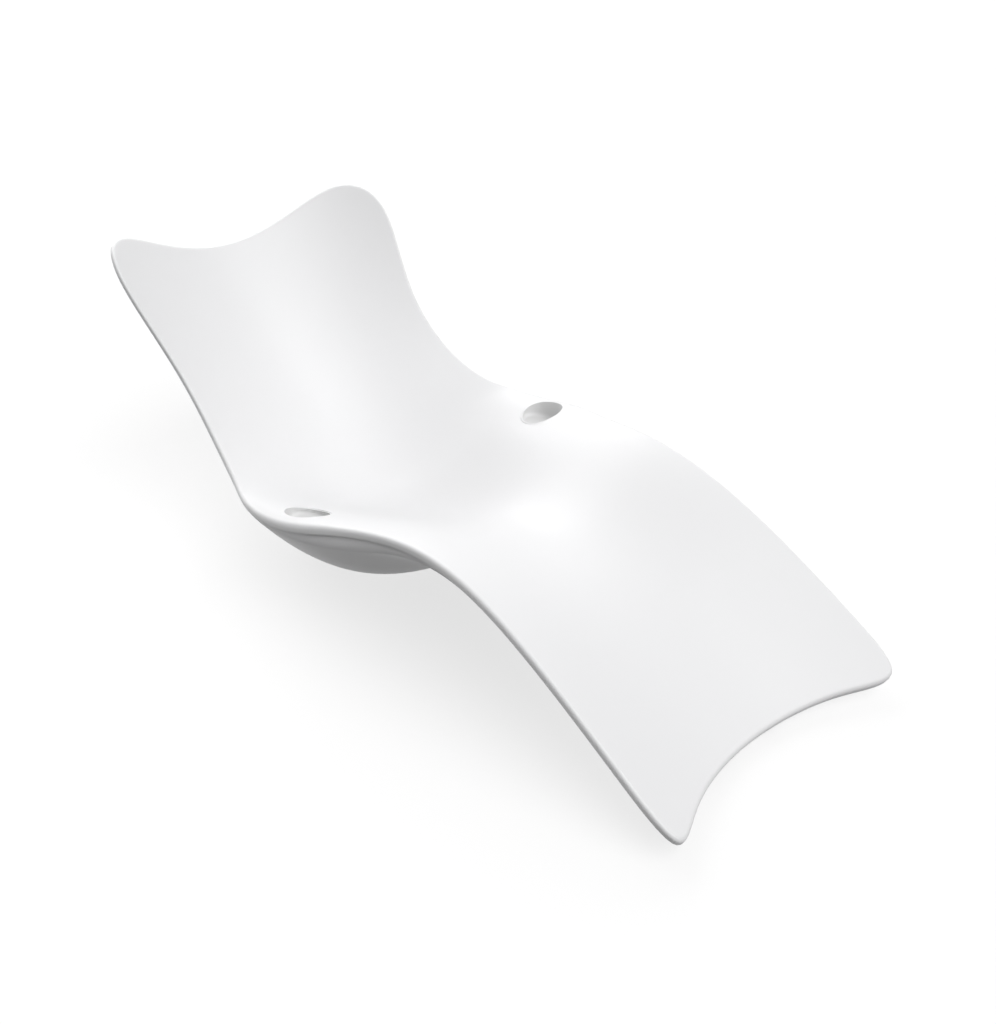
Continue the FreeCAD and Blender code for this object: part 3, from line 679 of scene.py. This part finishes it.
# Tint, shade, low and high gloss roughness, cloud scale, and scale and height of the ripple
FINISHES = {
    "gelcoat": finish_of("gelcoat_white", (0.82, 0.82, 0.825), (0.80, 0.80, 0.81), (0.46, 0.52),
                         1.6, (45.0, 0.05), coat=0.12),
    # The pocket finish's greyer colour is painted shade for the slot recesses; its higher roughness is a
    # duller surface
    "pocket": finish_of("gelcoat_pocket", (0.70, 0.70, 0.70), (0.68, 0.68, 0.68), (0.55, 0.7),
                        1.6, (45.0, 0.05)),
    "laminate": finish_of("laminate_white", (0.84, 0.84, 0.83), (0.78, 0.78, 0.77), (0.45, 0.6), 9.0),
    "adhesive": finish_of("adhesive_white", (0.80, 0.80, 0.78), (0.72, 0.72, 0.70), (0.5, 0.7), 30.0),
    "foam": finish_of("core_foam", (0.86, 0.79, 0.58), (0.78, 0.70, 0.48), (0.8, 0.95), 40.0,
                      (220.0, 0.6)),
    "plywood": finish_of("birch_plywood", (0.70, 0.54, 0.36), (0.58, 0.42, 0.26), (0.5, 0.7), 14.0),
    "brass": finish_of("insert_brass", (0.80, 0.62, 0.30), (0.70, 0.53, 0.24), (0.25, 0.4), 60.0,
                       metallic=1.0),
    "steel": finish_of("zinc_steel", (0.70, 0.70, 0.71), (0.58, 0.58, 0.60), (0.25, 0.42), 80.0,
                       (400.0, 0.15), metallic=1.0),
    "rubber": finish_of("black_rubber", (0.035, 0.035, 0.037), (0.05, 0.05, 0.05), (0.6, 0.8), 50.0,
                        (300.0, 0.3)),
    "plug": finish_of("plug_white", (0.86, 0.86, 0.85), (0.80, 0.80, 0.79), (0.3, 0.45), 20.0),
}


def dress(piece, material):
    piece.data.materials.clear()
    piece.data.materials.append(material)


def dress_pockets(piece, material):
    """The pockets behind the slots get a duller, rougher finish, and a greyer colour that is painted shade
    in the recesses.
    """
    piece.data.materials.append(material)
    centres = np.empty(len(piece.data.polygons) * 3)
    piece.data.polygons.foreach_get("center", centres)
    centres = centres.reshape(-1, 3)
    reach_x = SLOT_LENGTH / 2 + SLOT_UNDERCUT
    reach_y = SLOT_WIDTH / 2 + SLOT_UNDERCUT
    # Mask of the pocket faces that get the painted shade
    pocket = np.zeros(len(centres), bool)
    for side_sign in (1, -1):
        along_slot, across = slot_frame(side_sign, centres)
        pocket |= (along_slot / reach_x) ** 2 + (across / reach_y) ** 2 <= 1
    piece.data.polygons.foreach_set("material_index", pocket.astype(int).tolist())


for entry in frame["record"]["subparts"]:
    dress(frame["nodes"][entry["node"]], FINISHES[entry["material_slot"]])

seat = seat_moulding()
dress(seat, FINISHES["gelcoat"])
dress_pockets(seat, FINISHES["pocket"])
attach(seat, "lounger")
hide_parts("seat_shell", "grip_cup_left", "grip_cup_right")

under = under_moulding()
dress(under, FINISHES["gelcoat"])
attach(under, "lounger")
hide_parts("under_shell")

# Camera, at the photograph's viewing angle
FOCAL_PIXELS = 1180
IMAGE_HEIGHT = 1024
SENSOR_WIDTH = 36
VIEW_REACH = 50
CAMERA_YAW = math.radians(47.64)
CAMERA_PITCH = math.radians(32.04)
CAMERA_PLACE = Vector((1.7017, -1.444, 1.533))

# Soft light from far away: the lamp's azimuth from +X and its elevation in degrees, and its strength
LAMPS = {
    "head_light": (171, 27, 1.9), "foot_light": (3, 50, 2.2), "side_light": (130, 25, 0.4),
    "top_light": (0, 90, 0.22), "table_light": (185, -20, 1.15),
}
LAMP_SPREAD = 60
SKY_ABOVE = 0.24
SKY_BELOW = 0.03
SKY_SHOWN = 1.0
HORIZON_BLEND = 0.02

# Floor: half of its side, the share of light it throws back, its roughness and its own light
FLOOR_REACH = 60
FLOOR_TONE = 0.24
FLOOR_ROUGHNESS = 0.9
FLOOR_GLOW = 0.72


def add_camera():
    camera = bpy.data.objects.new("camera", bpy.data.cameras.new("camera"))
    camera.data.sensor_width = SENSOR_WIDTH
    camera.data.lens = FOCAL_PIXELS * SENSOR_WIDTH / IMAGE_HEIGHT
    camera.data.clip_end = VIEW_REACH
    camera.location = CAMERA_PLACE
    camera.rotation_euler = (math.pi / 2 - CAMERA_PITCH, 0, CAMERA_YAW)
    bpy.context.scene.collection.objects.link(camera)
    bpy.context.scene.camera = camera


def add_floor():
    """Plain pale floor, lit from inside as a photographer's light table is, so that shadows stay soft.
    Its own light doesn't reach the underside, which the table light does. From below it is clear."""
    corners = ((-1, -1, 0), (1, -1, 0), (1, 1, 0), (-1, 1, 0))
    points = np.array(corners, float) * FLOOR_REACH
    floor = to_object("studio_floor", points, [(0, 1, 2, 3)], merge=False)
    floor.visible_diffuse = False
    floor.visible_shadow = False
    material = bpy.data.materials.new("studio_floor")
    material.use_nodes = True
    tree = material.node_tree
    shader = tree.nodes["Principled BSDF"]
    shader.inputs["Base Color"].default_value = (FLOOR_TONE, FLOOR_TONE, FLOOR_TONE, 1)
    shader.inputs["Roughness"].default_value = FLOOR_ROUGHNESS
    shader.inputs["Emission Color"].default_value = (1, 1, 1, 1)
    shader.inputs["Emission Strength"].default_value = FLOOR_GLOW
    from_below = node(tree, "ShaderNodeNewGeometry").outputs["Backfacing"]
    clear = node(tree, "ShaderNodeBsdfTransparent").outputs["BSDF"]
    both = node(tree, "ShaderNodeMixShader", i0=from_below, i1=shader.outputs["BSDF"], i2=clear)
    tree.links.new(both.outputs["Shader"], tree.nodes["Material Output"].inputs["Surface"])
    dress(floor, material)


def add_lamp(name, azimuth, elevation, strength):
    """Soft light from far away."""
    lamp = bpy.data.lights.new(name, "SUN")
    lamp.energy = strength
    lamp.angle = math.radians(LAMP_SPREAD)
    light = bpy.data.objects.new(name, lamp)
    turn, rise = math.radians(azimuth), math.radians(elevation)
    level = math.cos(rise)
    towards = Vector((math.cos(turn) * level, math.sin(turn) * level, math.sin(rise)))
    light.rotation_euler = towards.to_track_quat("Z", "Y").to_euler()
    bpy.context.scene.collection.objects.link(light)


def add_sky():
    """Even studio surroundings, with one strength above the horizon and one below it."""
    world = bpy.data.worlds.new("studio")
    world.use_nodes = True
    tree = world.node_tree
    direction = node(tree, "ShaderNodeTexCoord").outputs["Generated"]
    height = node(tree, "ShaderNodeSeparateXYZ", Vector=direction).outputs["Z"]
    level = node(tree, "ShaderNodeMapRange", Value=height)
    level.inputs["From Min"].default_value = -HORIZON_BLEND
    level.inputs["From Max"].default_value = 0.0
    level.inputs["To Min"].default_value = SKY_BELOW
    level.inputs["To Max"].default_value = SKY_ABOVE
    # The surroundings look paler than the light they give
    seen = node(tree, "ShaderNodeLightPath").outputs["Is Camera Ray"]
    shown = node(tree, "ShaderNodeMath", (("operation", "MULTIPLY"),), i0=seen, i1=SKY_SHOWN)
    strength = node(tree, "ShaderNodeMath", (("operation", "MAXIMUM"),),
                    i0=level.outputs[0], i1=shown.outputs[0])
    background = tree.nodes["Background"]
    tree.links.new(strength.outputs[0], background.inputs["Strength"])
    background.inputs["Color"].default_value = (1, 1, 1, 1)
    bpy.context.scene.world = world


add_camera()
add_floor()
add_sky()
for lamp_name, lamp_values in LAMPS.items():
    add_lamp(lamp_name, *lamp_values)
bpy.context.scene.view_settings.view_transform = "Standard"
